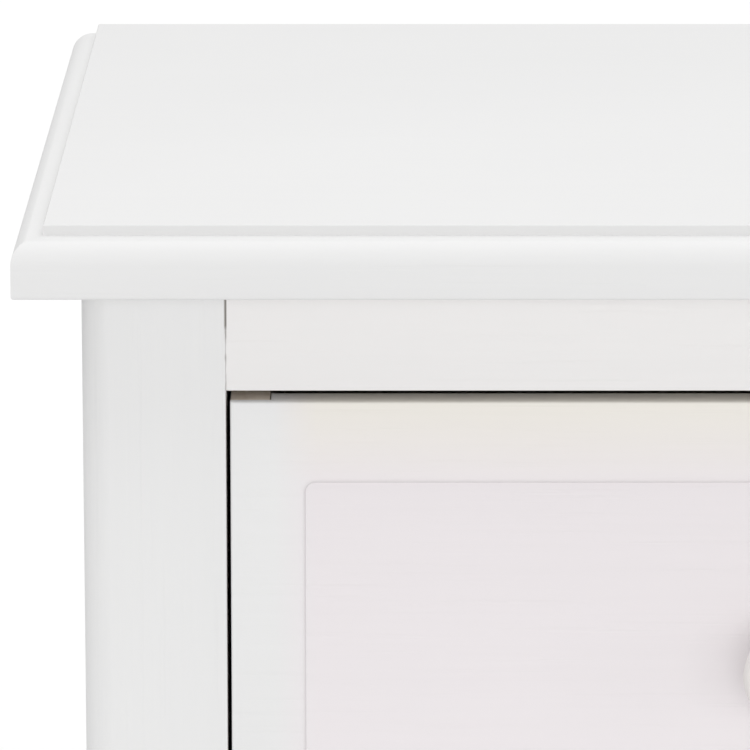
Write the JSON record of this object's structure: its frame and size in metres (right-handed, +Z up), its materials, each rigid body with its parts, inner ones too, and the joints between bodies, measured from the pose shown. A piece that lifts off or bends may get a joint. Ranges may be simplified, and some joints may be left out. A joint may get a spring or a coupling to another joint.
{
  "type": "apothecary cabinet",
  "caption": "Free-standing painted wooden chest with a grid of inset drawers that slide out on wooden runners, round knobs, a moulded top board and tapered post legs.",
  "frame": {"origin": "on the floor, in the middle of the overall width and of the overall depth, knobs included", "axes": "+Z up, the drawers face -Y, +X to the right of someone facing the drawers"},
  "size_m": [0.768, 0.3512, 0.6918],
  "materials": {
    "white_paint": "satin white brush-painted wood",
    "knob_paint": "semi-gloss warm white painted wood",
    "bare_wood": "bare planed softwood",
    "plywood": "bare thin plywood",
    "zinc_steel": "bright zinc-plated steel",
    "nylon": "off-white nylon"
  },
  "bodies": {
    "carcass": {"back_panel": "plywood", "bottom_front_rail": "white_paint", "centre_divider": "bare_wood", "centre_muntins": "white_paint", "drawer_guides": "bare_wood", "drawer_rails": "white_paint", "drawer_runners": "bare_wood", "foot_glides": "nylon", "front_left_post": "white_paint", "front_right_post": "white_paint", "left_side_panel": "white_paint", "rear_left_post": "white_paint", "rear_rails": "bare_wood", "rear_right_post": "white_paint", "right_side_panel": "white_paint", "top_board": "white_paint", "top_front_rail": "white_paint", "top_screws": "zinc_steel"},
    "lower_left_drawer": {"lower_left_drawer_back": "bare_wood", "lower_left_drawer_bottom": "plywood", "lower_left_drawer_front": "white_paint", "lower_left_drawer_knob": "knob_paint", "lower_left_drawer_knob_screw": "zinc_steel", "lower_left_drawer_left_side": "bare_wood", "lower_left_drawer_right_side": "bare_wood"},
    "lower_right_drawer": {"lower_right_drawer_back": "bare_wood", "lower_right_drawer_bottom": "plywood", "lower_right_drawer_front": "white_paint", "lower_right_drawer_knob": "knob_paint", "lower_right_drawer_knob_screw": "zinc_steel", "lower_right_drawer_left_side": "bare_wood", "lower_right_drawer_right_side": "bare_wood"},
    "middle_left_drawer": {"middle_left_drawer_back": "bare_wood", "middle_left_drawer_bottom": "plywood", "middle_left_drawer_front": "white_paint", "middle_left_drawer_knob": "knob_paint", "middle_left_drawer_knob_screw": "zinc_steel", "middle_left_drawer_left_side": "bare_wood", "middle_left_drawer_right_side": "bare_wood"},
    "middle_right_drawer": {"middle_right_drawer_back": "bare_wood", "middle_right_drawer_bottom": "plywood", "middle_right_drawer_front": "white_paint", "middle_right_drawer_knob": "knob_paint", "middle_right_drawer_knob_screw": "zinc_steel", "middle_right_drawer_left_side": "bare_wood", "middle_right_drawer_right_side": "bare_wood"},
    "upper_left_drawer": {"upper_left_drawer_back": "bare_wood", "upper_left_drawer_bottom": "plywood", "upper_left_drawer_front": "white_paint", "upper_left_drawer_knob": "knob_paint", "upper_left_drawer_knob_screw": "zinc_steel", "upper_left_drawer_left_side": "bare_wood", "upper_left_drawer_right_side": "bare_wood"},
    "upper_right_drawer": {"upper_right_drawer_back": "bare_wood", "upper_right_drawer_bottom": "plywood", "upper_right_drawer_front": "white_paint", "upper_right_drawer_knob": "knob_paint", "upper_right_drawer_knob_screw": "zinc_steel", "upper_right_drawer_left_side": "bare_wood", "upper_right_drawer_right_side": "bare_wood"}
  },
  "joints": [
    {"name": "lower_left_drawer_slide", "type": "slide", "parent": "carcass", "child": "lower_left_drawer", "axis": [0, -1, 0], "range_m": [0, 0.19]},
    {"name": "lower_right_drawer_slide", "type": "slide", "parent": "carcass", "child": "lower_right_drawer", "axis": [0, -1, 0], "range_m": [0, 0.19]},
    {"name": "middle_left_drawer_slide", "type": "slide", "parent": "carcass", "child": "middle_left_drawer", "axis": [0, -1, 0], "range_m": [0, 0.19]},
    {"name": "middle_right_drawer_slide", "type": "slide", "parent": "carcass", "child": "middle_right_drawer", "axis": [0, -1, 0], "range_m": [0, 0.19]},
    {"name": "upper_left_drawer_slide", "type": "slide", "parent": "carcass", "child": "upper_left_drawer", "axis": [0, -1, 0], "range_m": [0, 0.19]},
    {"name": "upper_right_drawer_slide", "type": "slide", "parent": "carcass", "child": "upper_right_drawer", "axis": [0, -1, 0], "range_m": [0, 0.19]}
  ]
}
